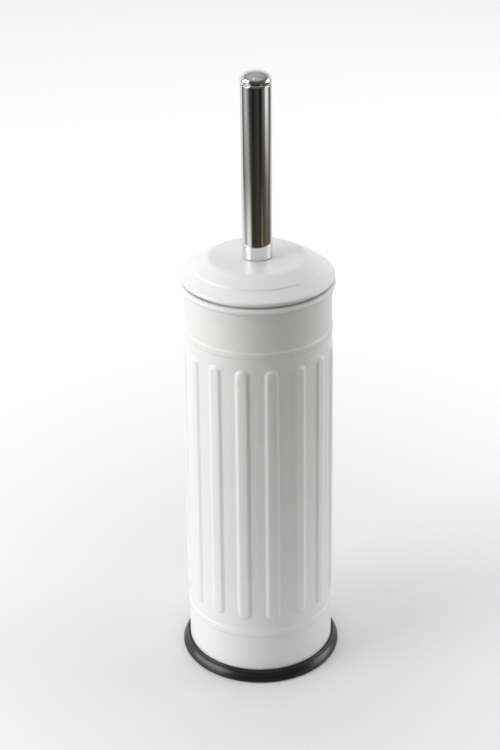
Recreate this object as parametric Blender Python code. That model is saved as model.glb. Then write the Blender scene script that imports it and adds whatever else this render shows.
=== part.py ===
"""Toilet brush holder: a steel can with a lid, and the brush whose handle carries that lid.

Metres, +Z up. The origin is the centre of the base ring's underside, on the surface that it stands on.
"""
from math import atan2, cos, hypot, pi, radians, sin, tau

import bmesh
import bpy

GAP = 0.0003                    # clearance between pieces that touch
SHEET = 0.0008                  # pressed steel, with its paint

# Can
CAN_R = 0.0455                  # outside of the wall at the floor
TAPER = 0.0075                  # how much the radius shrinks for each unit of height
CAN_FOOT = 0.0028               # height of the wall's lower edge
BEAD_R = 0.0021                 # section radius of the curled rim
BEAD_AXIS_R = 0.04365
BEAD_Z = 0.2532
BAND_HIGH = 0.0005              # how far the ring bands stand out
BAND_SLOPE = 0.0008
BANDS = ((0.0313, 0.0368), (0.2229, 0.2276))
RIB_COUNT = 16
RIB_HIGH = 0.0008
RIB_HALF = 0.0050               # half width at the foot of a rib
RIB_FLAT_HALF = 0.0025          # half width of its flat top
RIB_LOW = 0.0441
RIB_TOP = 0.2167
RIB_TURN = radians(-1.2)        # turns the whole ring of ribs a little off centre

# Base ring and the pieces inside the can
RING_R = 0.0501
RING_TOP = 0.0077
RING_LEDGE = 0.0024
RING_LEDGE_R = 0.0405
PAN_R = 0.0442
PAN_Z = 0.0050
LINER_FOOT_R = 0.0380
LINER_TOP_R = 0.0402
LINER_LIP_R = 0.0412
LINER_TOP = 0.1240
LINER_WALL = 0.0012

# Lid
LID_TOP = 0.2689                # plateau
LID_HOLE_R = 0.0033
PLATEAU_R = 0.0280
STEP_R = 0.0374
STEP_Z = 0.2643
ROLL_R = 0.0018                 # section radius of the rolled edge
ROLL_AXIS_R = 0.0435
SKIRT_R = 0.0410
SKIRT_LOW = 0.2495
SKIRT_TOP = 0.2588

# Handle and stem
TUBE_R = 0.00885
TUBE_WALL = 0.0010
TUBE_TOP = 0.3717
CAP_R = 0.00907
CAP_SEAM_R = 0.0087             # the cap tucks in where it meets the tube
CAP_TOP = 0.3792
STUD_R = 0.0030
NUT_FLATS = 0.0100
STEM_R = 0.0060
STEM_WALL = 0.0008
STEM_LOW = 0.1140

# Brush head
SOCKET_TOP = 0.1120
CORE_R = 0.0105
CORE_LOW = 0.0200
SCREW_R = 0.0040
BRISTLE_R = 0.0350
ROW_COUNT = 8
ROW_LOW = 0.0190
ROW_PITCH = 0.0096
ROW_THICK = 0.0090
TIP_LOW = 0.0120


def clear_scene():
    for item in list(bpy.data.objects):
        bpy.data.objects.remove(item, do_unlink=True)


def material(name, color, roughness, metallic=0.0):
    made = bpy.data.materials.new(name)
    made.use_nodes = True
    shader = made.node_tree.nodes["Principled BSDF"]
    shader.inputs["Base Color"].default_value = (*color, 1.0)
    shader.inputs["Roughness"].default_value = roughness
    shader.inputs["Metallic"].default_value = metallic
    return made


def add_object(name, bm, color, roughness, metallic=0.0):
    bmesh.ops.recalc_face_normals(bm, faces=bm.faces)
    mesh = bpy.data.meshes.new(name)
    bm.to_mesh(mesh)
    bm.free()
    mesh.shade_smooth()
    mesh.set_sharp_from_angle(angle=radians(35))
    mesh.materials.append(material(name, color, roughness, metallic))
    made = bpy.data.objects.new(name, mesh)
    bpy.context.scene.collection.objects.link(made)
    return made


def turned(profile, steps):
    """Spin a closed (r, z) outline once around Z. Points with r = 0 lie on the axis."""
    bm = bmesh.new()
    points = [bm.verts.new((r, 0, z)) for r, z in profile]
    edges = []
    for first, second in zip(points, points[1:] + points[:1]):
        if first.co.x > 0 or second.co.x > 0:
            edges.append(bm.edges.new((first, second)))
    bmesh.ops.spin(bm, geom=points + edges, cent=(0, 0, 0), axis=(0, 0, 1), angle=tau, steps=steps)
    bmesh.ops.remove_doubles(bm, verts=bm.verts, dist=1e-6)
    return bm


def arc(center_r, center_z, radius, start, end, count):
    """Points on a round stretch of an outline, with angles in degrees from +R towards +Z."""
    points = []
    for index in range(count + 1):
        angle = radians(start + (end - start) * index / count)
        points.append((center_r + radius * cos(angle), center_z + radius * sin(angle)))
    return points


def wall_point(z, inward=0.0, outward=0.0):
    """A point of the tapered wall's outline at height z."""
    return (CAN_R - TAPER * z - inward + outward, z)


def band_points(low, high):
    """A raised ring band, from its foot up."""
    return [wall_point(low), wall_point(low + BAND_SLOPE, outward=BAND_HIGH),
            wall_point(high - BAND_SLOPE, outward=BAND_HIGH), wall_point(high)]


def rib_rows(inward):
    """Rows of points that the ribs' round ends need, from the bottom up."""
    slope = RIB_HALF - RIB_FLAT_HALF
    low_end = [RIB_LOW, RIB_LOW + slope, RIB_LOW + RIB_HALF]
    top_end = [RIB_TOP - RIB_HALF, RIB_TOP - slope, RIB_TOP]
    return [wall_point(z, inward) for z in low_end + top_end]


def rib_height(across, z):
    """Height of a rib above the wall: flat on top, sloped sides, round ends."""
    middle = (RIB_LOW + RIB_TOP) / 2
    half_length = (RIB_TOP - RIB_LOW) / 2 - RIB_HALF
    beyond = max(0.0, abs(z - middle) - half_length)
    inside = (RIB_HALF - hypot(across, beyond)) / (RIB_HALF - RIB_FLAT_HALF)
    return RIB_HIGH * min(1.0, max(0.0, inside))


def press_ribs(bm):
    """Gather the wall's columns onto the ribs' edges, then push the ribs outward."""
    pitch = tau / RIB_COUNT
    edges = (-RIB_HALF / CAN_R, -RIB_FLAT_HALF / CAN_R, RIB_FLAT_HALF / CAN_R, RIB_HALF / CAN_R)
    for vert in bm.verts:
        column = round(atan2(vert.co.y, vert.co.x) / (pitch / len(edges)))
        rib, place = divmod(column, len(edges))
        radius = hypot(vert.co.x, vert.co.y) + rib_height(edges[place] * CAN_R, vert.co.z)
        angle = rib * pitch + edges[place] - pi / 2 + pitch / 2 + RIB_TURN
        vert.co.x = radius * cos(angle)
        vert.co.y = radius * sin(angle)


def square_off(bm, sides, flat_r):
    """Move the outer points of a turned ring out onto a regular polygon."""
    for vert in bm.verts:
        if hypot(vert.co.x, vert.co.y) > flat_r - 0.0001:
            angle = atan2(vert.co.y, vert.co.x)
            from_middle = (angle % (tau / sides)) - pi / sides
            radius = flat_r / cos(from_middle)
            vert.co.x = radius * cos(angle)
            vert.co.y = radius * sin(angle)


def make_can_wall():
    outline = [wall_point(CAN_FOOT, SHEET), wall_point(CAN_FOOT)]
    outline += band_points(*BANDS[0]) + rib_rows(0.0) + band_points(*BANDS[1])
    outline += arc(BEAD_AXIS_R, BEAD_Z, BEAD_R, -90, 180, 9)
    outline += [wall_point(BEAD_Z - BEAD_R * 0.9, SHEET)]
    outline += rib_rows(SHEET)[::-1]
    bm = turned(outline, RIB_COUNT * 4)
    press_ribs(bm)
    add_object("can_wall", bm, (0.86, 0.86, 0.85), 0.45)


def make_can_floor():
    rim = PAN_R - SHEET
    outline = [(0, PAN_Z), (rim, PAN_Z), (rim, CAN_FOOT), (PAN_R, CAN_FOOT)]
    outline += [(PAN_R, PAN_Z + SHEET), (0, PAN_Z + SHEET)]
    add_object("can_floor", turned(outline, 64), (0.80, 0.80, 0.79), 0.5)


def make_base_ring():
    inner = CAN_R + GAP
    outline = [(RING_LEDGE_R, 0), (RING_R - 0.0008, 0), (RING_R, 0.0018), (RING_R - 0.0004, 0.0038)]
    outline += [(RING_R - 0.0020, 0.0062), (inner + 0.0008, RING_TOP), (inner, RING_TOP)]
    outline += [(inner, RING_LEDGE), (RING_LEDGE_R, RING_LEDGE)]
    add_object("base_ring", turned(outline, 64), (0.02, 0.02, 0.02), 0.35)


def make_liner_cup():
    floor = PAN_Z + SHEET + GAP
    outline = [(0, floor), (LINER_FOOT_R - 0.002, floor), (LINER_FOOT_R, floor + 0.002)]
    outline += [(LINER_TOP_R, LINER_TOP - 0.0015), (LINER_LIP_R, LINER_TOP - 0.0015)]
    outline += [(LINER_LIP_R, LINER_TOP), (LINER_TOP_R - LINER_WALL, LINER_TOP)]
    outline += [(LINER_FOOT_R - LINER_WALL, floor + LINER_WALL + 0.001), (0, floor + LINER_WALL)]
    add_object("liner_cup", turned(outline, 48), (0.55, 0.56, 0.57), 0.5)


def make_lid():
    roll_z = BEAD_Z + BEAD_R + GAP + ROLL_R
    outline = [(LID_HOLE_R, LID_TOP - SHEET), (LID_HOLE_R, LID_TOP), (PLATEAU_R, LID_TOP)]
    outline += [(PLATEAU_R + 0.0012, LID_TOP - 0.0004), (STEP_R - 0.0040, STEP_Z + 0.0016)]
    outline += [(STEP_R - 0.0006, STEP_Z), (STEP_R, STEP_Z - 0.0008), (STEP_R + 0.0012, STEP_Z - 0.0016)]
    outline += arc(ROLL_AXIS_R, roll_z, ROLL_R, 60, -210, 9)
    outline += [(STEP_R + 0.0010, STEP_Z - 0.0016 - SHEET), (STEP_R - SHEET, STEP_Z - 0.0008 - SHEET)]
    outline += [(STEP_R - 0.0042, STEP_Z + 0.0016 - SHEET), (PLATEAU_R, LID_TOP - SHEET)]
    add_object("lid", turned(outline, 48), (0.86, 0.86, 0.85), 0.4)


def make_lid_skirt():
    outline = [(SKIRT_R - SHEET, SKIRT_LOW), (SKIRT_R, SKIRT_LOW), (SKIRT_R, SKIRT_TOP)]
    outline += [(SKIRT_R - SHEET, SKIRT_TOP + 0.0007)]
    add_object("lid_skirt", turned(outline, 48), (0.80, 0.80, 0.79), 0.45)


def make_handle():
    """The chrome tube with its cap, and the threaded insert and the washer inside its foot."""
    foot = LID_TOP + GAP
    inner = TUBE_R - TUBE_WALL
    tube = [(inner, foot), (TUBE_R, foot), (TUBE_R, TUBE_TOP), (inner, TUBE_TOP)]
    add_object("handle_tube", turned(tube, 32), (0.75, 0.75, 0.76), 0.08, 1.0)
    cap_low = TUBE_TOP + GAP
    spigot = inner - GAP
    dome_z = cap_low + 0.0020
    cap = [(0, TUBE_TOP - 0.010), (spigot, TUBE_TOP - 0.010), (spigot, cap_low), (CAP_SEAM_R, cap_low)]
    for index in range(6):
        angle = radians(90 * index / 6)
        cap.append((CAP_R * cos(angle), dome_z + (CAP_TOP - dome_z) * sin(angle)))
    cap.append((0, CAP_TOP))
    add_object("handle_cap", turned(cap, 32), (0.75, 0.75, 0.76), 0.08, 1.0)
    washer_top = foot + 0.0010
    washer = [(LID_HOLE_R, foot), (spigot, foot), (spigot, washer_top), (LID_HOLE_R, washer_top)]
    add_object("foot_gasket", turned(washer, 32), (0.30, 0.30, 0.30), 0.6)
    bore = STUD_R + GAP
    low = washer_top + GAP
    insert = [(bore, low), (spigot, low), (spigot, low + 0.020), (0, low + 0.020)]
    insert += [(0, low + 0.0150), (bore, low + 0.0150)]
    add_object("handle_insert", turned(insert, 32), (0.55, 0.55, 0.56), 0.35, 1.0)


def make_lid_fixing():
    """The stud through the lid's hole, with the washer and the nut that hold the lid up."""
    washer_top = LID_TOP - SHEET - GAP
    nut_top = washer_top - 0.0012 - GAP
    nut_low = nut_top - 0.0050
    bore = STUD_R + GAP
    washer = [(bore, washer_top - 0.0012), (0.0080, washer_top - 0.0012)]
    washer += [(0.0080, washer_top), (bore, washer_top)]
    add_object("under_washer", turned(washer, 32), (0.85, 0.85, 0.82), 0.5)
    nut = [(bore, nut_low), (NUT_FLATS / 2, nut_low), (NUT_FLATS / 2, nut_top), (bore, nut_top)]
    bm = turned(nut, 24)
    square_off(bm, 6, NUT_FLATS / 2)
    add_object("lock_nut", bm, (0.60, 0.60, 0.60), 0.3, 1.0)
    stud_low = nut_low - 0.0160
    stud = [(0, stud_low), (STUD_R, stud_low), (STUD_R, LID_TOP + 0.0150), (0, LID_TOP + 0.0150)]
    add_object("threaded_stud", turned(stud, 24), (0.60, 0.60, 0.60), 0.3, 1.0)
    return nut_low - GAP


def make_stem(stem_top):
    inner = STEM_R - STEM_WALL
    collar = 0.0020
    tube_top = stem_top - collar - GAP
    tube = [(inner, STEM_LOW + GAP), (STEM_R, STEM_LOW + GAP), (STEM_R, tube_top), (inner, tube_top)]
    add_object("stem_tube", turned(tube, 24), (0.70, 0.70, 0.71), 0.15, 1.0)
    plug_low = stem_top - 0.0200
    bore = STUD_R + GAP
    plug = [(0, plug_low), (inner - GAP, plug_low), (inner - GAP, tube_top + GAP), (STEM_R, tube_top + GAP)]
    plug += [(STEM_R, stem_top), (bore, stem_top), (bore, plug_low + 0.0030), (0, plug_low + 0.0030)]
    add_object("stem_top_plug", turned(plug, 24), (0.55, 0.55, 0.56), 0.35, 1.0)
    flange = SOCKET_TOP + GAP
    screw = [(0, SOCKET_TOP - 0.0120), (SCREW_R, SOCKET_TOP - 0.0120), (SCREW_R, flange), (STEM_R, flange)]
    screw += [(STEM_R, STEM_LOW), (inner - GAP, STEM_LOW), (inner - GAP, STEM_LOW + 0.0150)]
    screw += [(0, STEM_LOW + 0.0150)]
    add_object("stem_screw", turned(screw, 24), (0.55, 0.55, 0.56), 0.35, 1.0)


def make_head():
    bore = SCREW_R + GAP
    bore_low = SOCKET_TOP - 0.0140
    core = [(0, CORE_LOW), (CORE_R - 0.001, CORE_LOW), (CORE_R, CORE_LOW + 0.001)]
    core += [(CORE_R, ROW_LOW + ROW_COUNT * ROW_PITCH), (0.0078, ROW_LOW + ROW_COUNT * ROW_PITCH + 0.004)]
    core += [(0.0070, SOCKET_TOP), (bore, SOCKET_TOP), (bore, bore_low), (0, bore_low)]
    add_object("head_core", turned(core, 24), (0.85, 0.85, 0.84), 0.35)
    for row in range(ROW_COUNT):
        low = ROW_LOW + row * ROW_PITCH
        inner = CORE_R + GAP
        chamfer = 0.0012
        ring = [(inner, low), (BRISTLE_R - chamfer, low), (BRISTLE_R, low + chamfer)]
        ring += [(BRISTLE_R, low + ROW_THICK - chamfer), (BRISTLE_R - chamfer, low + ROW_THICK)]
        ring += [(inner, low + ROW_THICK)]
        add_object(f"bristle_row_{row + 1}", turned(ring, 24), (0.88, 0.88, 0.87), 0.6)
    tip_top = ROW_LOW - GAP
    tip = [(0, TIP_LOW), (0.0180, TIP_LOW), (0.0260, TIP_LOW + 0.0020), (0.0310, tip_top), (0, tip_top)]
    add_object("bristle_tip", turned(tip, 24), (0.88, 0.88, 0.87), 0.6)


def main():
    clear_scene()
    make_can_wall()
    make_can_floor()
    make_base_ring()
    make_liner_cup()
    make_lid()
    make_lid_skirt()
    make_handle()
    make_stem(make_lid_fixing())
    make_head()


main()
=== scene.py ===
"""Toilet brush holder: a ribbed, powder-coated steel can and the chrome-handled brush that stands in it."""
from math import atan2, cos, hypot, pi, radians, sin, tau
from random import Random

import bmesh
import bpy
from mathutils import Euler, Matrix, Vector


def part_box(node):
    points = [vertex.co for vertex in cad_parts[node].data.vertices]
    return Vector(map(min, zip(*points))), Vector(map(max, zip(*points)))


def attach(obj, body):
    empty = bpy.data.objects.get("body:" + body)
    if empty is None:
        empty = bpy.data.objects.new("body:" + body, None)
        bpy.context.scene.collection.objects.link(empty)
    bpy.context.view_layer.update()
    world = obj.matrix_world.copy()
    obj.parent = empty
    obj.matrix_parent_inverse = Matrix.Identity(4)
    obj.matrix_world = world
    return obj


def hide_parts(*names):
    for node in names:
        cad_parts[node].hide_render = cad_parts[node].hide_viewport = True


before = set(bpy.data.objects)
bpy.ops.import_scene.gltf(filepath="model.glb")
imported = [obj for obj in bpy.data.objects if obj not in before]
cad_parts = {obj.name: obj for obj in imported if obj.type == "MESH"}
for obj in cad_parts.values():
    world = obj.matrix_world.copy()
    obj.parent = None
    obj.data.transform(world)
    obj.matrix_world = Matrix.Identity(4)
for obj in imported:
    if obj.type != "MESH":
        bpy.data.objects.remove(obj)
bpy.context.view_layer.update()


# ---------------------------------------------------------------- Floor, camera and lights
# A pale studio floor and room. Soft boxes stand left, right and above, and the front of the room is dark, so
# the can's front falls into half tone and the chrome shows a dark middle between two bright edges.
near_floor_r = 0.26             # the floor inside this radius lights the object and is mirrored in it
far_floor_r = 9.0
floor_sides = 96
floor_drop = 0.0001             # clear of the base ring's underside
floor_gray = 0.69
glow_start_r = 0.10
glow_end_r = 0.60
glow_near = 0.12
glow_far = 0.50


def stage_floor(name, inner, outer, sees_object):
    """A flat disc, or a ring where inner isn't 0. Only one that sees the object lights it and is mirrored."""
    bm = bmesh.new()
    if inner:
        bmesh.ops.create_circle(bm, segments=floor_sides, radius=inner)
        grown = bmesh.ops.extrude_edge_only(bm, edges=list(bm.edges))["geom"]
        far = [item for item in grown if isinstance(item, bmesh.types.BMVert)]
        bmesh.ops.scale(bm, vec=(outer / inner, outer / inner, 1), verts=far)
    else:
        bmesh.ops.create_circle(bm, cap_ends=True, segments=floor_sides, radius=outer)
    bmesh.ops.translate(bm, vec=(0, 0, -floor_drop), verts=bm.verts)
    bmesh.ops.recalc_face_normals(bm, faces=bm.faces)
    if bm.faces[0].normal.z < 0:
        bmesh.ops.reverse_faces(bm, faces=bm.faces)
    mesh = bpy.data.meshes.new(name)
    bm.to_mesh(mesh)
    bm.free()
    made = bpy.data.objects.new(name, mesh)
    bpy.context.scene.collection.objects.link(made)
    made.visible_diffuse = sees_object
    made.visible_glossy = sees_object
    return made


floor_paint_and_glow = bpy.data.materials.new("floor_paint_and_glow")
floor_paint_and_glow.use_nodes = True
floor_nodes = floor_paint_and_glow.node_tree.nodes
floor_links = floor_paint_and_glow.node_tree.links
floor_shader = floor_nodes["Principled BSDF"]
floor_shader.inputs["Base Color"].default_value = (floor_gray, floor_gray, floor_gray, 1)
floor_shader.inputs["Roughness"].default_value = 0.6
floor_shader.inputs["Emission Color"].default_value = (1, 1, 1, 1)
# Only the camera sees the floor glow, faint near the object and stronger further out. This is painted light
# that keeps the backdrop white around the object's own shadow.
floor_place = floor_nodes.new("ShaderNodeTexCoord")
floor_distance = floor_nodes.new("ShaderNodeVectorMath")
floor_distance.operation = "LENGTH"
floor_glow = floor_nodes.new("ShaderNodeMapRange")
floor_glow.inputs["From Min"].default_value = glow_start_r
floor_glow.inputs["From Max"].default_value = glow_end_r
floor_glow.inputs["To Min"].default_value = glow_near
floor_glow.inputs["To Max"].default_value = glow_far
floor_links.new(floor_place.outputs["Object"], floor_distance.inputs[0])
floor_links.new(floor_distance.outputs["Value"], floor_glow.inputs["Value"])
floor_path = floor_nodes.new("ShaderNodeLightPath")
floor_seen = floor_nodes.new("ShaderNodeMath")
floor_seen.operation = "MULTIPLY"
floor_links.new(floor_glow.outputs["Result"], floor_seen.inputs[0])
floor_links.new(floor_path.outputs["Is Camera Ray"], floor_seen.inputs[1])
floor_links.new(floor_seen.outputs["Value"], floor_shader.inputs["Emission Strength"])
near_floor = stage_floor("floor_near", 0, near_floor_r, True)
far_floor = stage_floor("floor_far", near_floor_r, far_floor_r, False)
for floor in (near_floor, far_floor):
    floor.data.materials.append(floor_paint_and_glow)

camera_place = Vector((0, -0.8884, 0.6479))
camera_down = 27.203            # degrees below level
camera_aside = 0.326            # degrees to the left
camera_roll = -0.676            # degrees
camera_data = bpy.data.cameras.new("camera")
camera_data.lens = 79.97
camera_data.sensor_width = 36.0
camera = bpy.data.objects.new("camera", camera_data)
bpy.context.scene.collection.objects.link(camera)
bpy.context.scene.camera = camera
camera_turn = Euler((radians(90 - camera_down), 0, radians(camera_aside))).to_matrix().to_4x4()
camera.matrix_world = (Matrix.Translation(camera_place) @ camera_turn
                       @ Matrix.Rotation(radians(camera_roll), 4, "Z"))

light_aim = Vector((0, 0, 0.18))


def soft_box(name, place, width, height, power, mirrored):
    """A soft box that faces the can's middle. Unless it is mirrored, gloss and chrome don't show it."""
    light_data = bpy.data.lights.new(name, "AREA")
    light_data.shape = "RECTANGLE"
    light_data.size = width
    light_data.size_y = height
    light_data.energy = power
    light = bpy.data.objects.new(name, light_data)
    bpy.context.scene.collection.objects.link(light)
    light.location = place
    light.rotation_euler = (light_aim - Vector(place)).to_track_quat("-Z", "Y").to_euler()
    light.visible_glossy = mirrored


soft_box("light_left", (-1.19, -0.47, 0.64), 0.8, 0.9, 11.2, True)
soft_box("light_left_low", (-1.3, 0.16, 0.32), 0.35, 0.35, 2.4, True)
soft_box("light_right", (1.28, 0.18, 0.42), 0.7, 0.8, 6.4, True)
soft_box("light_right_back", (0.9, 0.9, 0.6), 0.5, 0.7, 1.8, False)
soft_box("light_top", (-0.1, 0.3, 1.6), 1.0, 1.0, 5.3, False)
soft_box("light_front", (-0.1, -1.4, 0.6), 0.8, 0.8, 2.0, False)
soft_box("light_overhead", (-0.28, -0.42, 1.9), 0.13, 0.13, 0.12, True)

world = bpy.data.worlds.new("studio")
bpy.context.scene.world = world
world.use_nodes = True
world_nodes = world.node_tree.nodes
world_links = world.node_tree.links
look = world_nodes.new("ShaderNodeTexCoord")
face_front = world_nodes.new("ShaderNodeMapping")
face_front.inputs["Rotation"].default_value = (0, 0, radians(90))
round_room = world_nodes.new("ShaderNodeTexGradient")
round_room.gradient_type = "RADIAL"
world_links.new(look.outputs["Generated"], face_front.inputs["Vector"])
world_links.new(face_front.outputs["Vector"], round_room.inputs["Vector"])
heights = world_nodes.new("ShaderNodeSeparateXYZ")
world_links.new(look.outputs["Generated"], heights.inputs["Vector"])
room_turn = 5                   # degrees the whole room is turned to the right
dark_wall = 0.3                 # walls below this brightness are a little warm


def room_wall(stops, warmth):
    """The room all round, from (degrees right of the front, brightness) stops."""
    wall = world_nodes.new("ShaderNodeValToRGB")
    while len(wall.color_ramp.elements) < len(stops):
        wall.color_ramp.elements.new(0.5)
    for element, (degrees_round, gray) in zip(wall.color_ramp.elements, stops):
        element.position = 0.5 + (degrees_round + room_turn) / 360
        tint = warmth if gray < dark_wall else 0
        element.color = (gray * (1 + tint), gray, gray * (1 - 1.5 * tint), 1)
    world_links.new(round_room.outputs["Fac"], wall.inputs["Fac"])
    return wall.outputs["Color"]


def blend_by_height(low_walls, high_walls, low, high):
    """Two walls blended between two heights: 0 is the horizon, 1 is straight up, -1 is straight down."""
    share = world_nodes.new("ShaderNodeMapRange")
    share.inputs["From Min"].default_value = low
    share.inputs["From Max"].default_value = high
    world_links.new(heights.outputs["Z"], share.inputs["Value"])
    blend = world_nodes.new("ShaderNodeMix")
    blend.data_type = "RGBA"
    world_links.new(share.outputs["Result"], blend.inputs["Factor"])
    world_links.new(low_walls, blend.inputs["A"])
    world_links.new(high_walls, blend.inputs["B"])
    return blend.outputs["Result"]


# White walls behind, a narrow dark opening at each side, a gray panel on the left, a strip light on the right
# and the dark front. The strip light hangs clear of the floor, so the lower walls only get its glow.
lowest_walls = room_wall(((-180, 0.95), (-122, 0.90), (-106, 0.43), (-92, 0.45), (-74, 0.92), (-58, 0.80),
                          (-43, 0.07), (-32, 0.03), (8, 0.05), (20, 0.02), (35, 0.18), (44, 0.07),
                          (85, 0.12), (100, 0.06), (130, 0.75), (180, 0.95)), 0.16)
low_walls = room_wall(((-180, 0.95), (-130, 0.80), (-115, 0.13), (-88, 0.30), (-64, 0.36), (-50, 0.07),
                       (-30, 0.02), (8, 0.05), (20, 0.02), (58, 0.07), (72, 0.21), (86, 0.19),
                       (102, 0.06), (128, 0.70), (180, 0.95)), 0.10)
middle_walls = room_wall(((-180, 0.95), (-129, 0.78), (-119, 0.06), (-85, 0.62), (-57, 0.08), (-30, 0.01),
                          (9, 0.05), (18, 0.014), (32, 0.01), (50, 0.16), (60, 0.16), (65, 0.86),
                          (90, 0.88), (101, 0.06), (112, 0.08), (150, 0.90), (180, 0.95)), 0.04)
horizon_walls = room_wall(((-180, 0.95), (-124, 0.90), (-118, 0.20), (-112, 0.20), (-108, 0.98),
                           (-66, 0.98), (-58, 0.10), (0, 0.05), (62, 0.10), (68, 0.98), (104, 0.98),
                           (108, 0.15), (116, 0.15), (124, 0.90), (180, 0.95)), 0.0)
upper_walls = room_wall(((-180, 0.85), (-120, 0.75), (-80, 0.35), (-50, 0.09), (50, 0.09), (80, 0.16),
                         (120, 0.55), (180, 0.85)), 0.0)
cornice = room_wall(((-180, 0.40), (-110, 0.24), (0, 0.22), (110, 0.20), (180, 0.40)), 0.0)
ceiling = room_wall(((-180, 0.46), (-90, 0.46), (0, 0.52), (90, 0.36), (180, 0.46)), 0.0)
room = blend_by_height(lowest_walls, low_walls, -0.384, -0.350)
room = blend_by_height(room, middle_walls, -0.350, -0.305)
room = blend_by_height(room, horizon_walls, -0.29, -0.22)
room = blend_by_height(room, upper_walls, 0.12, 0.30)
room = blend_by_height(room, cornice, 0.46, 0.60)
room = blend_by_height(room, ceiling, 0.60, 0.86)
backdrop_gray = 0.93            # seen only by the camera, never mirrored
backdrop = world_nodes.new("ShaderNodeMix")
backdrop.data_type = "RGBA"
backdrop.inputs["B"].default_value = (backdrop_gray, backdrop_gray, backdrop_gray, 1)
path = world_nodes.new("ShaderNodeLightPath")
world_links.new(path.outputs["Is Camera Ray"], backdrop.inputs["Factor"])
world_links.new(room, backdrop.inputs["A"])
world_links.new(backdrop.outputs["Result"], world_nodes["Background"].inputs["Color"])
bpy.context.scene.view_settings.view_transform = "Standard"


# ---------------------------------------------------------------- Can wall
# Thin sheet steel, rolled and seam-welded at the back, with two ring bands and sixteen ribs pressed outward
# and the rim curled into a bead. Sprayed and baked with a satin white powder coat that has a fine grain.
merge_gap = 1e-6


def turned(outline, columns):
    """A closed (r, z) outline spun round the axis in so many columns."""
    bm = bmesh.new()
    ring = [bm.verts.new((r, 0, z)) for r, z in outline]
    edges = []
    for first, second in zip(ring, ring[1:] + ring[:1]):
        if first.co.x > 0 or second.co.x > 0:
            edges.append(bm.edges.new((first, second)))
    bmesh.ops.spin(bm, geom=ring + edges, cent=(0, 0, 0), axis=(0, 0, 1), angle=tau, steps=columns,
                   use_merge=True)
    bmesh.ops.remove_doubles(bm, verts=bm.verts, dist=merge_gap)
    bmesh.ops.recalc_face_normals(bm, faces=bm.faces)
    return bm


def as_piece(name, bm, finish, sharp=35):
    """An object at the origin, shaded smooth but for edges sharper than so many degrees."""
    mesh = bpy.data.meshes.new(name)
    bm.to_mesh(mesh)
    bm.free()
    mesh.shade_smooth()
    mesh.set_sharp_from_angle(angle=radians(sharp))
    mesh.materials.append(finish)
    made = bpy.data.objects.new(name, mesh)
    bpy.context.scene.collection.objects.link(made)
    return made


def arc(center_r, center_z, radius, start, end, count):
    """Outline points on an arc between two angles in degrees, 0 pointing outward and 90 up."""
    points = []
    for index in range(count + 1):
        angle = radians(start + (end - start) * index / count)
        points.append((center_r + radius * cos(angle), center_z + radius * sin(angle)))
    return points


def eased(share, corner=0.25):
    """A straight ramp from 0 to 1 whose two ends are rounded over the corner's share of it."""
    share = min(1.0, max(0.0, share))
    steep = 1 / (1 - corner)
    if share < corner:
        return steep * share * share / (2 * corner)
    if share > 1 - corner:
        return 1 - steep * (1 - share) ** 2 / (2 * corner)
    return steep * (share - corner / 2)


def grain_group():
    """A fine, even grain for bumps and a slow mottle, for sprayed and moulded surfaces."""
    group = bpy.data.node_groups.new("fine_grain", "ShaderNodeTree")
    group.interface.new_socket("Grain Size", in_out="INPUT", socket_type="NodeSocketFloat")
    group.interface.new_socket("Height", in_out="OUTPUT", socket_type="NodeSocketFloat")
    group.interface.new_socket("Mottle", in_out="OUTPUT", socket_type="NodeSocketFloat")
    nodes = group.nodes
    links = group.links
    start = nodes.new("NodeGroupInput")
    end = nodes.new("NodeGroupOutput")
    place = nodes.new("ShaderNodeTexCoord")
    per_metre = nodes.new("ShaderNodeMath")
    per_metre.operation = "DIVIDE"
    per_metre.inputs[0].default_value = 1.0
    grain = nodes.new("ShaderNodeTexNoise")
    grain.inputs["Detail"].default_value = 3.0
    grain.inputs["Roughness"].default_value = 0.55
    mottle = nodes.new("ShaderNodeTexNoise")
    mottle.inputs["Scale"].default_value = 45.0
    mottle.inputs["Detail"].default_value = 4.0
    links.new(start.outputs["Grain Size"], per_metre.inputs[1])
    links.new(per_metre.outputs["Value"], grain.inputs["Scale"])
    links.new(place.outputs["Object"], grain.inputs["Vector"])
    links.new(place.outputs["Object"], mottle.inputs["Vector"])
    links.new(grain.outputs["Fac"], end.inputs["Height"])
    links.new(mottle.outputs["Fac"], end.inputs["Mottle"])
    return group


fine_grain = grain_group()


def grained_finish(name, dark, light, rough_low, rough_high, grain_size, grain_depth, metallic=0.0):
    """A sprayed, moulded or plated surface: a little tone and roughness variation and a fine grain."""
    finish = bpy.data.materials.new(name)
    finish.use_nodes = True
    nodes = finish.node_tree.nodes
    links = finish.node_tree.links
    shader = nodes["Principled BSDF"]
    shader.inputs["Metallic"].default_value = metallic
    skin = nodes.new("ShaderNodeGroup")
    skin.node_tree = fine_grain
    skin.inputs["Grain Size"].default_value = grain_size
    tone = nodes.new("ShaderNodeMix")
    tone.data_type = "RGBA"
    tone.inputs["A"].default_value = (*dark, 1)
    tone.inputs["B"].default_value = (*light, 1)
    rough = nodes.new("ShaderNodeMapRange")
    rough.inputs["From Min"].default_value = 0.3
    rough.inputs["From Max"].default_value = 0.7
    rough.inputs["To Min"].default_value = rough_low
    rough.inputs["To Max"].default_value = rough_high
    bump = nodes.new("ShaderNodeBump")
    bump.inputs["Strength"].default_value = 1.0
    bump.inputs["Distance"].default_value = grain_depth
    links.new(skin.outputs["Mottle"], tone.inputs["Factor"])
    links.new(tone.outputs["Result"], shader.inputs["Base Color"])
    links.new(skin.outputs["Mottle"], rough.inputs["Value"])
    links.new(rough.outputs["Result"], shader.inputs["Roughness"])
    links.new(skin.outputs["Height"], bump.inputs["Height"])
    links.new(bump.outputs["Normal"], shader.inputs["Normal"])
    return finish


coat_grain = 0.0006
powder_coat = grained_finish("powder_coat", (0.84, 0.84, 0.835), (0.87, 0.87, 0.865), 0.29, 0.35, coat_grain,
                             0.00024)

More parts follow.
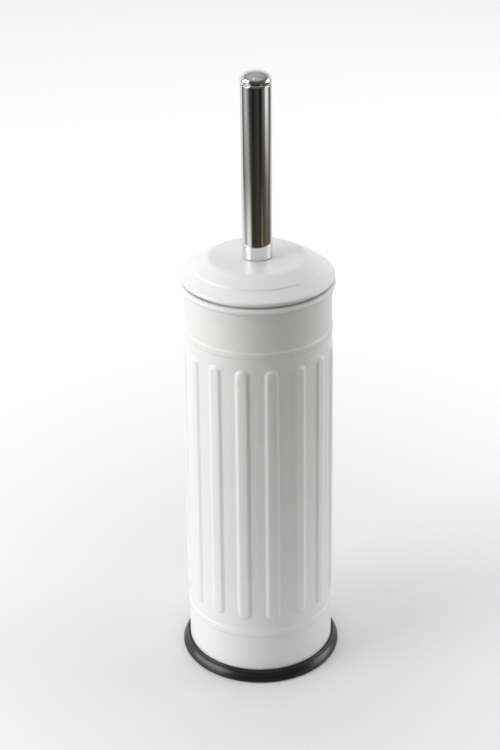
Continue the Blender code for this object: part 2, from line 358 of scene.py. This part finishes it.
wall_low, wall_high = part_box("can_wall")
sheet = 0.0008
wall_foot_r = 0.0455
wall_taper = 0.0075             # the radius lost for each unit of height
bead_r = 0.0021
bead_axis_r = wall_high[0] - bead_r
bead_drop = 0.0005              # leaves a shadow line under the lid's rolled edge
bead_z = wall_high[2] - bead_r - bead_drop
bands = ((0.0313, 0.0368), (0.2229, 0.2276))    # the lower and the upper edge of each
band_high = 0.0005
band_slope = 0.0011
rib_low = 0.0441
rib_top = 0.2167
rib_half = 0.0050
rib_flat_half = 0.0022
rib_high = 0.00095
rib_count = 16
rib_turn = radians(-1.2)
rib_pitch = tau / rib_count
rib_pitch_arc = rib_pitch * wall_foot_r
seam_half = 0.0015
seam_edge = 0.0004
seam_high = 0.0003
seam_rib = 7                    # the seam lies in the gap after this rib, at the back


def column_places():
    """Distances along the wall from a rib's middle, close together where the sheet bends."""
    steps = 7
    slope = [rib_flat_half + (rib_half - rib_flat_half) * step / steps for step in range(steps + 1)]
    middle = rib_pitch_arc / 2
    half = [0.0, rib_flat_half / 2] + slope + [middle - seam_half - seam_edge, middle - seam_half]
    other = [rib_pitch_arc - place for place in reversed(half[1:])]
    return half + [middle] + other


def band_swell(z):
    """How far the two ring bands push the sheet out at this height."""
    swell = 0.0
    for low, high in bands:
        swell += eased(((high - low) / 2 - abs(z - (low + high) / 2)) / band_slope)
    return band_high * swell


def rib_swell(across, z):
    """How far a round-ended rib pushes the sheet out, this far across from its middle line."""
    half_length = (rib_top - rib_low) / 2 - rib_half
    beyond = max(0.0, abs(z - (rib_low + rib_top) / 2) - half_length)
    return rib_high * eased((rib_half - hypot(across, beyond)) / (rib_half - rib_flat_half))


def wall_rows():
    """Heights of the wall's rows, close together where the sheet bends."""
    steps = 15
    margin = 0.0005
    rows = [wall_low[2]]
    for low, high in (bands[0], (rib_low, rib_low + rib_half), (rib_top - rib_half, rib_top), bands[1]):
        rows.append(low - margin)
        rows += [low + (high - low) * step / steps for step in range(steps + 1)]
        rows.append(high + margin)
    return rows + [bead_z - bead_r - 0.0006]


def press_pitch(bm, with_seam):
    """Presses bands and one rib into a wall strip that was spun through one rib pitch in even steps."""
    places = column_places() + [rib_pitch_arc]
    for vert in bm.verts:
        along = places[round(atan2(vert.co.y, vert.co.x) / rib_pitch * (len(places) - 1))]
        across = min(along, rib_pitch_arc - along)
        radius = hypot(vert.co.x, vert.co.y) + rib_swell(across, vert.co.z) + band_swell(vert.co.z)
        if with_seam and vert.co.z < bead_z - bead_r * 1.5:
            from_seam = abs(along - rib_pitch_arc / 2)
            radius += seam_high * eased((seam_half + seam_edge - from_seam) / seam_edge)
        vert.co.x = radius * cos(along / wall_foot_r)
        vert.co.y = radius * sin(along / wall_foot_r)


def wall_strip(name, outline, with_seam):
    """One rib pitch of the wall, from the middle of a rib to the middle of the next."""
    bm = bmesh.new()
    ring = [bm.verts.new((r, 0, z)) for r, z in outline]
    edges = [bm.edges.new(pair) for pair in zip(ring, ring[1:] + ring[:1])]
    bmesh.ops.spin(bm, geom=ring + edges, cent=(0, 0, 0), axis=(0, 0, 1), angle=rib_pitch,
                   steps=len(column_places()))
    press_pitch(bm, with_seam)
    mesh = bpy.data.meshes.new(name)
    bm.to_mesh(mesh)
    bm.free()
    return mesh


wall_outer = [(wall_foot_r - wall_taper * z, z) for z in wall_rows()]
wall_inner = [(r - sheet, z) for r, z in reversed(wall_outer)]
wall_bead = arc(bead_axis_r, bead_z, bead_r, -84, 190, 26)
wall_outline = wall_outer + wall_bead + wall_inner
plain_strip = wall_strip("wall_strip", wall_outline, False)
seam_strip = wall_strip("wall_strip_seamed", wall_outline, True)
wall_bm = bmesh.new()
for rib in range(rib_count):
    before = len(wall_bm.verts)
    wall_bm.from_mesh(seam_strip if rib == seam_rib else plain_strip)
    wall_bm.verts.ensure_lookup_table()
    rib_angle = (rib + 0.5) * rib_pitch - pi / 2 + rib_turn
    bmesh.ops.rotate(wall_bm, cent=(0, 0, 0), matrix=Matrix.Rotation(rib_angle, 3, "Z"),
                     verts=wall_bm.verts[before:])
bmesh.ops.remove_doubles(wall_bm, verts=wall_bm.verts, dist=merge_gap * 2)
bmesh.ops.recalc_face_normals(wall_bm, faces=wall_bm.faces)
can_wall = as_piece("can_wall_pressed", wall_bm, powder_coat, sharp=60)
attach(can_wall, "holder")
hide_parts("can_wall")


# ---------------------------------------------------------------- Can floor
# A shallow steel pan, pushed up into the wall's lower end and joined there. Two rings pressed into it make it
# stiff. Coated together with the wall.
def rounded(corners, segments=5):
    """An outline through (r, z, cut) corners, each rounded over the distance cut to both sides.

    A point just before and after a rounding keeps the long faces beside it flat in the light.
    """
    points = []
    for index, (r, z, cut) in enumerate(corners):
        here = Vector((r, z))
        if cut == 0:
            points.append((r, z))
            continue
        before = Vector(corners[index - 1][:2]) - here
        after = Vector(corners[(index + 1) % len(corners)][:2]) - here
        start = here + before.normalized() * cut
        end = here + after.normalized() * cut
        if before.length > cut * 3:
            points.append(tuple(start + before.normalized() * cut * 0.4))
        for step in range(segments + 1):
            t = step / segments
            points.append(tuple(start * (1 - t) ** 2 + here * 2 * t * (1 - t) + end * t ** 2))
        if after.length > cut * 3:
            points.append(tuple(end + after.normalized() * cut * 0.4))
    return points


pan_low, pan_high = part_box("can_floor")
pan_r = pan_high[0]
pan_top = pan_high[2]
pan_under = pan_top - sheet
pan_rings = ((0.016, 0.020), (0.030, 0.034))
groove_deep = 0.0004
groove_side = 0.001
groove_bend = 0.0004
pan_corners = [(0, pan_under, 0)]
for groove_in, groove_out in pan_rings:
    pan_corners += [(groove_in, pan_under, groove_bend),
                    (groove_in + groove_side, pan_under - groove_deep, groove_bend),
                    (groove_out - groove_side, pan_under - groove_deep, groove_bend),
                    (groove_out, pan_under, groove_bend)]
pan_corners += [(pan_r - sheet, pan_under, 0.0005), (pan_r - sheet, pan_low[2], 0)]
pan_corners += [(pan_r, pan_low[2], 0), (pan_r, pan_top, 0.0010)]
for groove_in, groove_out in reversed(pan_rings):
    pan_corners += [(groove_out, pan_top, groove_bend),
                    (groove_out - groove_side, pan_top - groove_deep, groove_bend),
                    (groove_in + groove_side, pan_top - groove_deep, groove_bend),
                    (groove_in, pan_top, groove_bend)]
pan_corners.append((0, pan_top, 0))
can_floor = as_piece("can_floor_pan", turned(rounded(pan_corners), 160), powder_coat)
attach(can_floor, "holder")
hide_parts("can_floor")


# ---------------------------------------------------------------- Base ring
# A black moulded plastic ring, pushed up over the can's lower edge, which stands on its inner ledge. It
# keeps the steel off a wet floor. Its satin skin has the mould's fine texture.
black_plastic = grained_finish("black_plastic", (0.008, 0.008, 0.007), (0.012, 0.012, 0.010), 0.27, 0.32,
                               0.0006, 0.00004)
ring_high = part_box("base_ring")[1]
ring_r = ring_high[0]
ring_top = ring_high[2]
ring_seat_r = wall_foot_r + 0.0003
ring_ledge_r = 0.0405
ring_ledge = 0.0024
ring_corners = [(ring_ledge_r, 0, 0.0004), (ring_r - 0.0008, 0, 0.0004), (ring_r, 0.0010, 0.0006)]
ring_corners += [(ring_r - 0.0011, 0.0038, 0.0014), (ring_r - 0.0026, 0.0057, 0.0008)]
ring_corners += [(ring_seat_r + 0.0012, ring_top, 0.0006), (ring_seat_r, ring_top, 0.0002)]
ring_corners += [(ring_seat_r, ring_ledge, 0.0002), (ring_ledge_r, ring_ledge, 0.0004)]
base_ring = as_piece("base_ring_moulded", turned(rounded(ring_corners), 224), black_plastic, sharp=50)
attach(base_ring, "holder")
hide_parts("base_ring")


# ---------------------------------------------------------------- Drip cup
# A loose, thin-walled grey plastic cup that stands on the can's floor and catches the water that runs off
# the brush. Injection moulded with draft, a turned-out lip and a stacking step near its foot.
grey_plastic = grained_finish("grey_plastic", (0.50, 0.51, 0.52), (0.56, 0.57, 0.58), 0.32, 0.45, 0.0008,
                              0.00003)
cup_low, cup_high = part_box("liner_cup")
cup_floor = cup_low[2]
cup_top = cup_high[2]
cup_lip_r = cup_high[0]
cup_top_r = 0.0402
cup_foot_r = 0.0380
cup_wall = 0.0012
cup_lip_thick = 0.0015
cup_step = cup_floor + 0.012
cup_step_high = 0.0008
cup_step_in = 0.0006
cup_bend = 0.0004
cup_corners = [(0, cup_floor, 0), (cup_foot_r - 0.0012, cup_floor, 0.0012)]
cup_corners += [(cup_foot_r - cup_step_in, cup_step, cup_bend)]
cup_corners += [(cup_foot_r, cup_step + cup_step_high, cup_bend)]
cup_corners += [(cup_top_r, cup_top - cup_lip_thick, cup_bend), (cup_lip_r, cup_top - cup_lip_thick, 0.0005)]
cup_corners += [(cup_lip_r, cup_top, 0.0006), (cup_top_r - cup_wall, cup_top, 0.0006)]
cup_corners += [(cup_foot_r - cup_wall, cup_step + cup_step_high, cup_bend)]
cup_corners += [(cup_foot_r - cup_wall - cup_step_in, cup_step, cup_bend)]
cup_corners += [(cup_foot_r - cup_wall - 0.0010, cup_floor + cup_wall, 0.0010), (0, cup_floor + cup_wall, 0)]
drip_cup = as_piece("drip_cup", turned(rounded(cup_corners), 144), grey_plastic, sharp=50)
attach(drip_cup, "holder")
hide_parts("liner_cup")


# ---------------------------------------------------------------- Lid
# Sheet steel, drawn in one press stroke into a flat plateau, a sloped band, a small step and an outer band,
# with its edge rolled under. Coated like the can, a little smoother. It has one hole, under the handle.
lid_coat = grained_finish("lid_coat", (0.85, 0.85, 0.845), (0.86, 0.86, 0.855), 0.28, 0.29, coat_grain,
                          0.00015)
lid_low, lid_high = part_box("lid")
lid_top = lid_high[2]
lid_hole_r = 0.0033
plateau_r = 0.0288
step_r = 0.0375
step_z = 0.2641
step_drop = 0.0009
step_slope = 0.0004
roll_r = 0.0016
roll_lift = 0.0005
roll_axis_r = lid_high[0] - roll_r
roll_z = lid_low[2] + roll_r + roll_lift
lid_roll = arc(roll_axis_r, roll_z, roll_r, 62, -205, 22)
lid_upper = [(lid_hole_r, lid_top, 0.0002), (plateau_r, lid_top, 0.0016), (step_r, step_z, 0.0007)]
lid_upper += [(step_r + step_slope, step_z - step_drop, 0.0004)]
lid_under = [(step_r + 0.0001, step_z - step_drop - sheet, 0.0003)]
lid_under += [(step_r - 0.0005, step_z - sheet, 0.0006)]
lid_under += [(plateau_r - 0.0002, lid_top - sheet, 0.0014), (lid_hole_r, lid_top - sheet, 0.0002)]
roll_start = (*lid_roll[0], 0)
roll_end = (*lid_roll[-1], 0)
lid_corners = lid_upper + [roll_start, roll_end] + lid_under
lid_outline = []
for point in rounded(lid_corners, 6):
    lid_outline.append(point)
    if point == lid_roll[0]:
        lid_outline += lid_roll[1:-1]
lid = as_piece("lid_pressed", turned(lid_outline, 256), lid_coat, sharp=50)
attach(lid, "lid")
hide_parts("lid")


# ---------------------------------------------------------------- Lid skirt
# A strip of the same sheet, rolled into a ring and spot-welded under the lid. It drops inside the can's rim
# and keeps the lid in the middle. Its lower edge is turned in a little, so it finds the rim easily.
skirt_low, skirt_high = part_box("lid_skirt")
skirt_r = skirt_high[0]
skirt_foot = skirt_low[2]
skirt_turn_in = 0.0006
skirt_turn_z = skirt_foot + 0.0020
skirt_corners = [(skirt_r - sheet - skirt_turn_in, skirt_foot, 0.0002)]
skirt_corners += [(skirt_r - skirt_turn_in, skirt_foot, 0.0002), (skirt_r, skirt_turn_z, 0.0010)]
skirt_corners += [(skirt_r, skirt_high[2] - 0.0007, 0.0002), (skirt_r - sheet, skirt_high[2], 0.0002)]
skirt_corners += [(skirt_r - sheet, skirt_turn_z, 0.0010)]
lid_skirt = as_piece("lid_skirt_ring", turned(rounded(skirt_corners), 192), lid_coat, sharp=50)
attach(lid_skirt, "lid")
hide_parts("lid_skirt")


# ---------------------------------------------------------------- Handle tube
# Welded steel tube, ground, polished and chrome-plated, with both ends cut square and deburred. Handling
# and wiping leave faint streaks along it that only show in the reflections.
def chrome_finish(name, rough_low, rough_high):
    """Polished chrome plate with faint streaks along the piece in tone and roughness."""
    finish = bpy.data.materials.new(name)
    finish.use_nodes = True
    nodes = finish.node_tree.nodes
    links = finish.node_tree.links
    shader = nodes["Principled BSDF"]
    shader.inputs["Metallic"].default_value = 1.0
    place = nodes.new("ShaderNodeTexCoord")
    drawn_out = nodes.new("ShaderNodeMapping")
    drawn_out.inputs["Scale"].default_value = (1.0, 1.0, 0.06)
    streaks = nodes.new("ShaderNodeTexNoise")
    streaks.inputs["Scale"].default_value = 420.0
    streaks.inputs["Detail"].default_value = 4.0
    rough = nodes.new("ShaderNodeMapRange")
    rough.inputs["From Min"].default_value = 0.35
    rough.inputs["From Max"].default_value = 0.65
    rough.inputs["To Min"].default_value = rough_low
    rough.inputs["To Max"].default_value = rough_high
    tone = nodes.new("ShaderNodeMix")
    tone.data_type = "RGBA"
    tone.inputs["A"].default_value = (0.80, 0.80, 0.81, 1)
    tone.inputs["B"].default_value = (0.84, 0.84, 0.85, 1)
    links.new(place.outputs["Object"], drawn_out.inputs["Vector"])
    links.new(drawn_out.outputs["Vector"], streaks.inputs["Vector"])
    links.new(streaks.outputs["Fac"], rough.inputs["Value"])
    links.new(rough.outputs["Result"], shader.inputs["Roughness"])
    links.new(streaks.outputs["Fac"], tone.inputs["Factor"])
    links.new(tone.outputs["Result"], shader.inputs["Base Color"])
    return finish


handle_chrome = chrome_finish("handle_chrome", 0.03, 0.07)
tube_low, tube_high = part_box("handle_tube")
tube_r = tube_high[0]
tube_wall = 0.0010
burr = 0.0002
tube_corners = [(tube_r - tube_wall, tube_low[2], burr), (tube_r, tube_low[2], burr)]
tube_corners += [(tube_r, tube_high[2], burr), (tube_r - tube_wall, tube_high[2], burr)]
handle_tube = as_piece("handle_tube_chromed", turned(rounded(tube_corners, 3), 160), handle_chrome)
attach(handle_tube, "brush")
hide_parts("handle_tube")


# ---------------------------------------------------------------- Handle cap
# A die-cast end cap with a spigot that is pressed into the tube. The dome stands a hair proud of the tube
# and tucks in at the seam. Polished and chrome-plated like the tube.
cap_chrome = chrome_finish("cap_chrome", 0.03, 0.06)
cap_low, cap_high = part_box("handle_cap")
cap_r = cap_high[0]
cap_seam = tube_high[2] + 0.0003
cap_seam_r = tube_r - 0.0001
cap_belly = cap_seam + 0.0020
spigot_r = tube_r - tube_wall - 0.0003
spigot_cut = 0.0006
seam_cut = 0.0002
belly_steps = 7
dome_steps = 24
cap_outline = [(0, cap_low[2]), (spigot_r - spigot_cut, cap_low[2]), (spigot_r, cap_low[2] + spigot_cut)]
cap_outline += [(spigot_r, cap_seam), (cap_seam_r - seam_cut, cap_seam), (cap_seam_r, cap_seam + seam_cut)]
for step in range(1, belly_steps):
    rise = step / belly_steps
    cap_outline.append((cap_seam_r + (cap_r - cap_seam_r) * sin(rise * pi / 2),
                        cap_seam + seam_cut + (cap_belly - cap_seam - seam_cut) * rise))
for step in range(dome_steps):
    angle = pi / 2 * step / dome_steps
    cap_outline.append((cap_r * cos(angle), cap_belly + (cap_high[2] - cap_belly) * sin(angle)))
cap_outline.append((0, cap_high[2]))
handle_cap = as_piece("handle_cap_chromed", turned(cap_outline, 128), cap_chrome)
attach(handle_cap, "brush")
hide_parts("handle_cap")


# ---------------------------------------------------------------- Handle insert, stud and foot washer
# A steel plug with a threaded bore is pressed into the tube's foot. The stud that screws into it and the
# thin rubber washer in the tube's mouth are bought in. They keep their CAD shapes, as none of them shows.
zinc_plate = grained_finish("zinc_plate", (0.52, 0.52, 0.50), (0.64, 0.64, 0.62), 0.28, 0.45, 0.0012,
                            0.00002, metallic=1.0)
black_rubber = grained_finish("black_rubber", (0.04, 0.04, 0.04), (0.06, 0.06, 0.06), 0.65, 0.80, 0.0007,
                              0.00004)
bought_in = (("handle_insert", zinc_plate), ("threaded_stud", zinc_plate), ("foot_gasket", black_rubber))
for node_name, finish in bought_in:
    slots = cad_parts[node_name].material_slots
    for index in range(len(slots)):
        slots[index].material = finish


# ---------------------------------------------------------------- Washer and lock nut under the lid
# A nylon washer carries the lid, and a zinc-plated hexagon nut with chamfered corners locks the stud below
# it. The lid stays free to turn between the washer and the handle's foot.
nylon = grained_finish("nylon", (0.80, 0.80, 0.76), (0.85, 0.85, 0.82), 0.40, 0.52, 0.0009, 0.00002)
washer_low, washer_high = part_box("under_washer")
stud_bore_r = 0.0033
washer_corners = [(stud_bore_r, washer_low[2], 0.0002), (washer_high[0], washer_low[2], 0.0003)]
washer_corners += [(washer_high[0], washer_high[2], 0.0003), (stud_bore_r, washer_high[2], 0.0002)]
under_washer = as_piece("under_washer_nylon", turned(rounded(washer_corners), 96), nylon)
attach(under_washer, "brush")
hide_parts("under_washer")

nut_low, nut_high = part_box("lock_nut")
nut_flat_r = nut_high[1]
nut_rows = 8
nut_bore_cut = 0.0004
nut_face_r = nut_flat_r - 0.0001
nut_chamfer = 1.75              # how far the corners grow outward for each step away from a face
sixth = tau / 6
nut_outline = [(stud_bore_r + nut_bore_cut, nut_low[2])]
for row in range(nut_rows + 1):
    nut_outline.append((nut_flat_r, nut_low[2] + (nut_high[2] - nut_low[2]) * row / nut_rows))
nut_outline += [(stud_bore_r + nut_bore_cut, nut_high[2]), (stud_bore_r, nut_high[2] - nut_bore_cut)]
nut_outline.append((stud_bore_r, nut_low[2] + nut_bore_cut))
nut_bm = turned(nut_outline, 96)
for vert in nut_bm.verts:
    if hypot(vert.co.x, vert.co.y) > nut_face_r:
        angle = atan2(vert.co.y, vert.co.x)
        flat_edge = nut_flat_r / cos((angle % sixth) - sixth / 2)
        from_face = min(vert.co.z - nut_low[2], nut_high[2] - vert.co.z)
        radius = min(flat_edge, nut_face_r + from_face * nut_chamfer)
        vert.co.x = radius * cos(angle)
        vert.co.y = radius * sin(angle)
lock_nut = as_piece("lock_nut_hex", nut_bm, zinc_plate, sharp=20)
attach(lock_nut, "brush")
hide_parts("lock_nut")


# ---------------------------------------------------------------- Stem
# A thin steel tube with a turned plug pressed into each end. The upper plug takes the stud, the lower one
# carries the screw for the brush head. The tube is chrome-plated, the plugs are zinc-plated.
stem_chrome = chrome_finish("stem_chrome", 0.06, 0.14)
stem_low, stem_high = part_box("stem_tube")
stem_r = stem_high[0]
stem_wall = 0.0008
stem_corners = [(stem_r - stem_wall, stem_low[2], burr), (stem_r, stem_low[2], burr)]
stem_corners += [(stem_r, stem_high[2], burr), (stem_r - stem_wall, stem_high[2], burr)]
stem_tube = as_piece("stem_tube_chromed", turned(rounded(stem_corners, 3), 96), stem_chrome)
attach(stem_tube, "brush")
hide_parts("stem_tube")

plug_low, plug_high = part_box("stem_top_plug")
plug_gap = 0.0003
plug_collar = stem_high[2] + plug_gap
plug_spigot_r = stem_r - stem_wall - plug_gap
plug_bore_end = plug_low[2] + 0.0030
plug_corners = [(0, plug_low[2], 0), (plug_spigot_r, plug_low[2], 0.0004), (plug_spigot_r, plug_collar, 0)]
plug_corners += [(stem_r, plug_collar, 0.0003), (stem_r, plug_high[2], 0.0005)]
plug_corners += [(stud_bore_r, plug_high[2], 0.0004), (stud_bore_r, plug_bore_end, 0), (0, plug_bore_end, 0)]
stem_plug = as_piece("stem_top_plug_turned", turned(rounded(plug_corners), 96), zinc_plate)
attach(stem_plug, "brush")
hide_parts("stem_top_plug")

screw_low, screw_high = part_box("stem_screw")
screw_flange = stem_low[2] - plug_gap
screw_under = 0.1123
screw_r = 0.0040
thread_deep = 0.0004
thread_pitch = 0.00125
thread_lead = 0.0008
thread_plain = 0.0020
screw_outline = [(0, screw_low[2]), (screw_r - thread_lead, screw_low[2])]
thread_turns = int((screw_under - screw_low[2] - thread_plain) / thread_pitch)
for turn in range(thread_turns):
    root = screw_low[2] + thread_lead + turn * thread_pitch
    screw_outline += [(screw_r - thread_deep, root), (screw_r, root + thread_pitch / 2)]
screw_outline += [(screw_r - thread_deep, screw_under - 0.0006), (screw_r - thread_deep, screw_under)]
screw_outline += rounded([(stem_r, screw_under, 0.0003), (stem_r, screw_flange, 0.0003)])
screw_outline += [(plug_spigot_r, screw_flange), (plug_spigot_r, screw_high[2] - 0.0004)]
screw_outline += [(plug_spigot_r - 0.0004, screw_high[2]), (0, screw_high[2])]
stem_screw = as_piece("stem_screw_turned", turned(screw_outline, 96), zinc_plate)
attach(stem_screw, "brush")
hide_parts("stem_screw")


# ---------------------------------------------------------------- Head core
# The brush head's body is one white plastic moulding: a solid core that the tufts are stapled into, and
# above it a threaded socket with shallow flutes for the fingers that unscrew it.
white_plastic = grained_finish("white_plastic", (0.82, 0.82, 0.81), (0.86, 0.86, 0.85), 0.22, 0.32, 0.0008,
                               0.00002)
core_low, core_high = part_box("head_core")
core_r = core_high[0]
socket_r = 0.0078
core_shoulder = 0.0958
socket_bore_r = 0.0043
socket_bore_low = core_high[2] - 0.0140
flutes = 12
flute_deep = 0.06               # as a share of the socket's radius
core_corners = [(0, core_low[2], 0), (core_r, core_low[2], 0.0016), (core_r, core_shoulder, 0.0012)]
core_corners += [(socket_r, core_shoulder + 0.004, 0.0012), (socket_r, core_shoulder + 0.0052, 0)]
core_corners += [(socket_r, core_high[2] - 0.0024, 0), (socket_r - 0.0006, core_high[2], 0.0005)]
core_corners += [(socket_bore_r, core_high[2], 0.0003), (socket_bore_r, socket_bore_low, 0)]
core_corners += [(0, socket_bore_low, 0)]
core_bm = turned(rounded(core_corners), 144)
for vert in core_bm.verts:
    on_socket = core_shoulder + 0.0050 < vert.co.z < core_high[2] - 0.0020
    radius = hypot(vert.co.x, vert.co.y)
    if on_socket and radius > socket_r - 0.0001:
        angle = atan2(vert.co.y, vert.co.x)
        shrink = 1 - flute_deep * eased(cos(angle * flutes))
        vert.co.x *= shrink
        vert.co.y *= shrink
head_core = as_piece("head_core_moulded", core_bm, white_plastic, sharp=30)
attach(head_core, "head")
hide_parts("head_core")


# ---------------------------------------------------------------- Bristles
# Eight rows of stapled tufts of white nylon, each row turned half a tuft from the last, and a fan of hairs
# at the lower end. The tufts flare, so that the rows close up to a brush at their tips.
bristle_nylon = grained_finish("bristle_nylon", (0.93, 0.94, 0.93), (0.97, 0.98, 0.97), 0.28, 0.42, 0.0015,
                               0.00001)
bristle_r = 0.00026
row_count = 8
tufts_in_row = 16
hairs_in_tuft = 22
tuft_patterns = 4
tuft_overlap = 0.0009
root_spread = 0.10
tip_spread = 0.19


def add_hair(bm, root, tip, bend):
    """One tapered nylon hair from root to tip, bowed a little to one side."""
    along = tip - root
    turn = along.to_track_quat("Z", "Y").to_matrix().to_4x4()
    made = bmesh.ops.create_cone(bm, cap_ends=True, segments=4, radius1=bristle_r, radius2=bristle_r * 0.7,
                                 depth=along.length, matrix=Matrix.Translation(root + along / 2) @ turn)
    edges = dict.fromkeys(edge for vert in made["verts"] for edge in vert.link_edges)
    sides = [edge for edge in edges if edge.calc_length() > bristle_r * 4]
    cut = bmesh.ops.subdivide_edges(bm, edges=sides, cuts=1)
    middle = [item for item in cut["geom_inner"] if isinstance(item, bmesh.types.BMVert)]
    bmesh.ops.translate(bm, vec=bend, verts=middle)


def tuft_mesh(low, high, reach, chance):
    """One flared tuft along +X, its root just inside the core and its tips ending at reach."""
    bm = bmesh.new()
    middle = (low + high) / 2
    flare = (high - low) / 2 + tuft_overlap
    root_r = core_r - 0.0006
    for _ in range(hairs_in_tuft):
        spread = chance.uniform(-1, 1)
        lift = chance.uniform(-1, 1)
        root_angle = spread * root_spread
        tip_angle = spread * tip_spread + chance.uniform(-0.02, 0.02)
        tip_reach = reach - chance.uniform(0.0003, 0.0014)
        root = Vector((root_r * cos(root_angle), root_r * sin(root_angle), middle + lift * 0.0012))
        tip = Vector((tip_reach * cos(tip_angle), tip_reach * sin(tip_angle), middle + lift * flare))
        bend = Vector((chance.uniform(-1, 1), chance.uniform(-1, 1), chance.uniform(-1, 1))) * 0.0005
        add_hair(bm, root, tip, bend)
    mesh = bpy.data.meshes.new("tuft")
    bm.to_mesh(mesh)
    bm.free()
    return mesh


def row_of_tufts(name, row, low, high, reach, chance):
    """A ring of tufts: a few different ones, which follow each other all the way round."""
    patterns = [tuft_mesh(low, high, reach, chance) for _ in range(tuft_patterns)]
    bm = bmesh.new()
    for tuft in range(tufts_in_row):
        before = len(bm.verts)
        bm.from_mesh(patterns[tuft % tuft_patterns])
        bm.verts.ensure_lookup_table()
        tuft_angle = (tuft + 0.5 * (row % 2)) * tau / tufts_in_row
        bmesh.ops.rotate(bm, cent=(0, 0, 0), matrix=Matrix.Rotation(tuft_angle, 3, "Z"),
                         verts=bm.verts[before:])
    return as_piece(name, bm, bristle_nylon, sharp=80)


chance = Random(7)
for row in range(row_count):
    row_node = f"bristle_row_{row + 1}"
    row_low, row_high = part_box(row_node)
    tufts = row_of_tufts(f"tufts_{row + 1}", row, row_low[2], row_high[2], row_high[0], chance)
    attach(tufts, "head")
    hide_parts(row_node)

tip_low, tip_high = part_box("bristle_tip")
tip_hairs = 260
tip_dome = 0.0042
golden_turn = pi * (3 - 5 ** 0.5)
tip_bm = bmesh.new()
for index in range(tip_hairs):
    share = ((index + 0.5) / tip_hairs) ** 0.5
    angle = index * golden_turn
    root_r = share * (core_r - 0.0014)
    tip_r = share * (tip_high[0] - 0.0006)
    tip_z = tip_low[2] + 0.0004 + tip_dome * share ** 3 + chance.uniform(0, 0.0006)
    root = Vector((root_r * cos(angle), root_r * sin(angle), core_low[2] + 0.0006))
    tip = Vector((tip_r * cos(angle), tip_r * sin(angle), tip_z))
    add_hair(tip_bm, root, tip, Vector((chance.uniform(-1, 1), chance.uniform(-1, 1), 0)) * 0.0003)
end_tufts = as_piece("tufts_end", tip_bm, bristle_nylon, sharp=80)
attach(end_tufts, "head")
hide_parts("bristle_tip")
